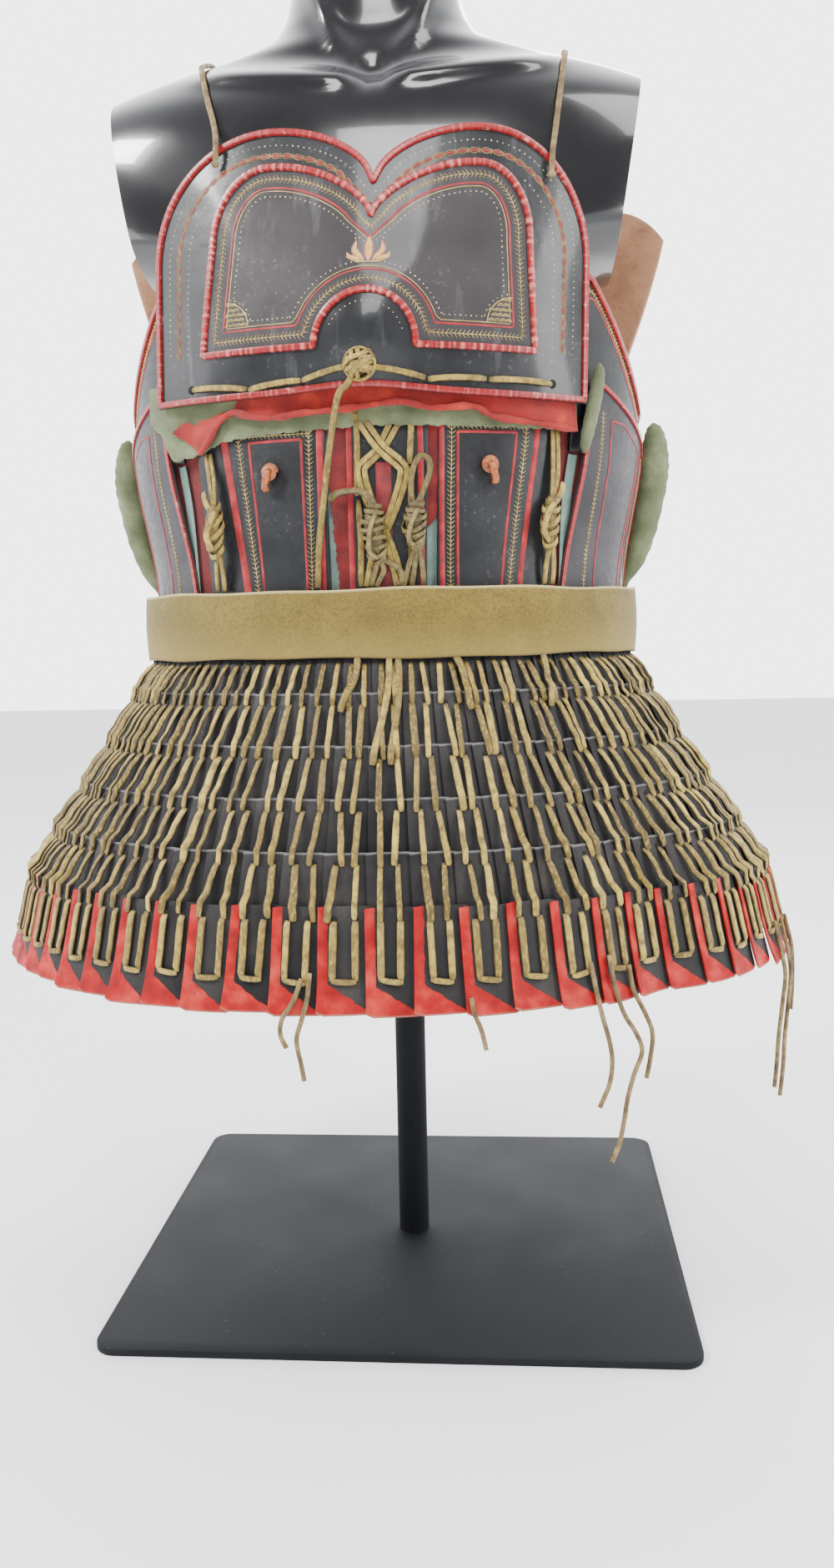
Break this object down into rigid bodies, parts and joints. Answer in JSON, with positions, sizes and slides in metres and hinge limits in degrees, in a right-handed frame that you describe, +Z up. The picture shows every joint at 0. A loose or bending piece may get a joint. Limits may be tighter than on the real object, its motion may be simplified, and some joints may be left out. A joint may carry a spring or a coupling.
{
  "type": "lamellar armour on a torso display form",
  "caption": "Lacquered rawhide lamellar armour with a lobed breast plate, waist plates, suede belt and flared laced skirt, worn by a limbless torso form on a post and base plate.",
  "frame": {"origin": "on the floor under the middle of the armour, level with the underside of the base plate", "axes": "+Z up along the post and the body, -Y towards the wearer's front (the breast plate), +X towards the viewer's right"},
  "size_m": [0.6944, 0.5, 1.12],
  "materials": {
    "painted_steel": "matt dark grey paint",
    "form_gloss": "polished black",
    "black_lacquer": "worn black lacquer on rawhide",
    "red_lacquer": "worn red lacquer on rawhide",
    "bare_hide": "bare brown rawhide, lacquered outside",
    "scarlet_wool": "matt wool",
    "sage_wool": "matt wool",
    "belt_suede": "suede",
    "hide_thong": "tanned thong",
    "toggle_leather": "waxed leather"
  },
  "bodies": {
    "root": {"base_plate": "painted_steel", "post": "painted_steel", "torso_form": "form_gloss", "back_waist_centre": "black_lacquer", "back_waist_left": "black_lacquer", "back_waist_right": "black_lacquer", "breast_plate": "black_lacquer", "front_plate_left": "black_lacquer", "front_plate_right": "black_lacquer", "placket": "black_lacquer", "side_plate_left": "black_lacquer", "side_plate_right": "black_lacquer", "skirt_row_1": "black_lacquer", "skirt_row_2": "black_lacquer", "skirt_row_3": "black_lacquer", "skirt_row_4": "black_lacquer", "skirt_row_5": "black_lacquer", "skirt_row_6": "black_lacquer", "underarm_plate_left": "black_lacquer", "underarm_plate_right": "black_lacquer", "back_rim": "red_lacquer", "breast_rim": "red_lacquer", "panel_ridge": "red_lacquer", "underarm_rim_left": "red_lacquer", "underarm_rim_right": "red_lacquer", "back_plate": "bare_hide", "red_band": "scarlet_wool", "red_strip_left": "scarlet_wool", "red_strip_right": "scarlet_wool", "side_strip_left": "scarlet_wool", "side_strip_right": "scarlet_wool", "green_band": "sage_wool", "green_roll_left": "sage_wool", "green_roll_right": "sage_wool", "small_roll_right": "sage_wool", "belt": "belt_suede", "breast_tie": "hide_thong", "hem_thong_far_a": "hide_thong", "hem_thong_far_b": "hide_thong", "hem_thong_far_c": "hide_thong", "hem_thong_front": "hide_thong", "hem_thong_left_a": "hide_thong", "hem_thong_left_b": "hide_thong", "hem_thong_side_a": "hide_thong", "hem_thong_side_b": "hide_thong", "hem_thong_side_c": "hide_thong", "placket_tie_left": "hide_thong", "placket_tie_right": "hide_thong", "shoulder_cord_left": "hide_thong", "shoulder_cord_right": "hide_thong", "side_tie_left": "hide_thong", "side_tie_right": "hide_thong", "toggle_left": "toggle_leather", "toggle_right": "toggle_leather"}
  },
  "joints": []
}
